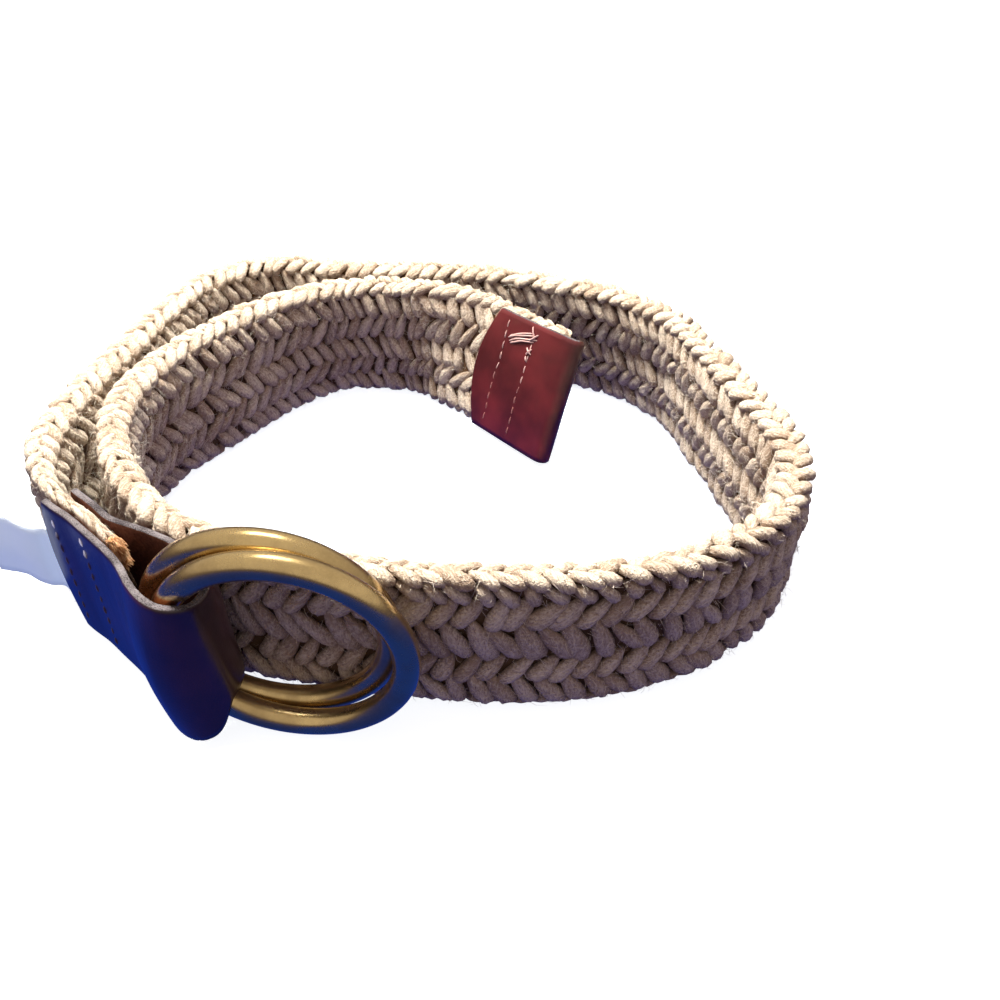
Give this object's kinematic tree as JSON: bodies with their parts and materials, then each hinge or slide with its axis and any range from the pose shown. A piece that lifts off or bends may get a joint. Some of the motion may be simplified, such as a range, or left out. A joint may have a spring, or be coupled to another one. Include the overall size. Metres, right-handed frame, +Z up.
{
  "type": "belt",
  "caption": "Braided cotton belt with a leather tip and two brass rings held in a sewn leather fold, lying coiled on its edge.",
  "frame": {"origin": "middle of the footprint on the surface that the belt stands on", "axes": "+Z up, +X to the right of someone facing the rings, -Y towards that person"},
  "size_m": [0.1974, 0.1732, 0.0544],
  "materials": {
    "cotton_braid": "fluffy natural cotton, hand-thick braid",
    "leather": "smooth oxblood, raw grey cut edges",
    "antique_brass": "antiqued, polished on the rounds",
    "satin_ribbon": "white satin ribbon, blank"
  },
  "bodies": {
    "belt": {"braided_strap": "cotton_braid", "leather_ring_fold": "leather", "leather_tip": "leather", "blank_label": "satin_ribbon"},
    "front_ring": {"ring_front": "antique_brass"},
    "rear_ring": {"ring_rear": "antique_brass"}
  },
  "joints": [
    {"name": "front_ring_spin", "type": "hinge", "parent": "belt", "child": "front_ring", "pos_m": [-0.0191, -0.0809, 0.02718], "axis": [0.073, 0.9946, 0.0732], "continuous": true},
    {"name": "rear_ring_spin", "type": "hinge", "parent": "belt", "child": "rear_ring", "pos_m": [-0.02294, -0.07454, 0.02718], "axis": [0.073, 0.9946, 0.0732], "continuous": true}
  ]
}
